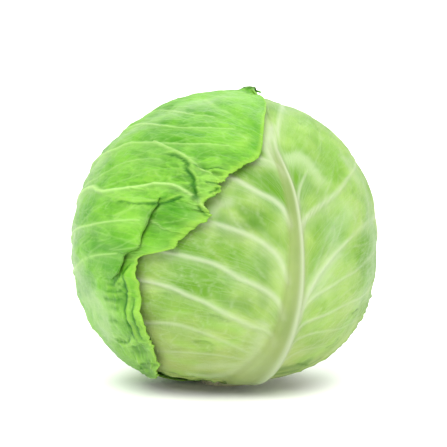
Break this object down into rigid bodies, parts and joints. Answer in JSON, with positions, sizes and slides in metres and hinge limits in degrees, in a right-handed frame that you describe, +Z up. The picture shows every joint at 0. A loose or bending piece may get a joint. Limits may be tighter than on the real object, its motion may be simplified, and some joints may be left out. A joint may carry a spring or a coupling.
{
  "type": "cabbage head",
  "caption": "Round green cabbage head standing on its cut stalk, with broad-ribbed, veined wrapper leaves folded tightly round a dense inner head.",
  "frame": {"origin": "centre of the cut face of the stalk, on the surface that the head rests on", "axes": "+Z up through the head; -Y towards the side with the pale leaf's midrib; +X to its right"},
  "size_m": [0.1721, 0.1739, 0.167],
  "materials": {
    "cut_stalk": "moist, freshly cut",
    "inner_leaf": "smooth, faintly waxy",
    "green_leaf": "smooth, faintly waxy",
    "pale_leaf": "smooth, faintly waxy",
    "bright_leaf": "puckered, faintly waxy"
  },
  "bodies": {
    "root": {"stalk": "cut_stalk", "inner_head": "inner_leaf", "right_inner_leaf": "inner_leaf", "left_inner_leaf": "inner_leaf", "back_leaf": "green_leaf", "front_leaf": "pale_leaf", "left_leaf": "bright_leaf"}
  },
  "joints": []
}
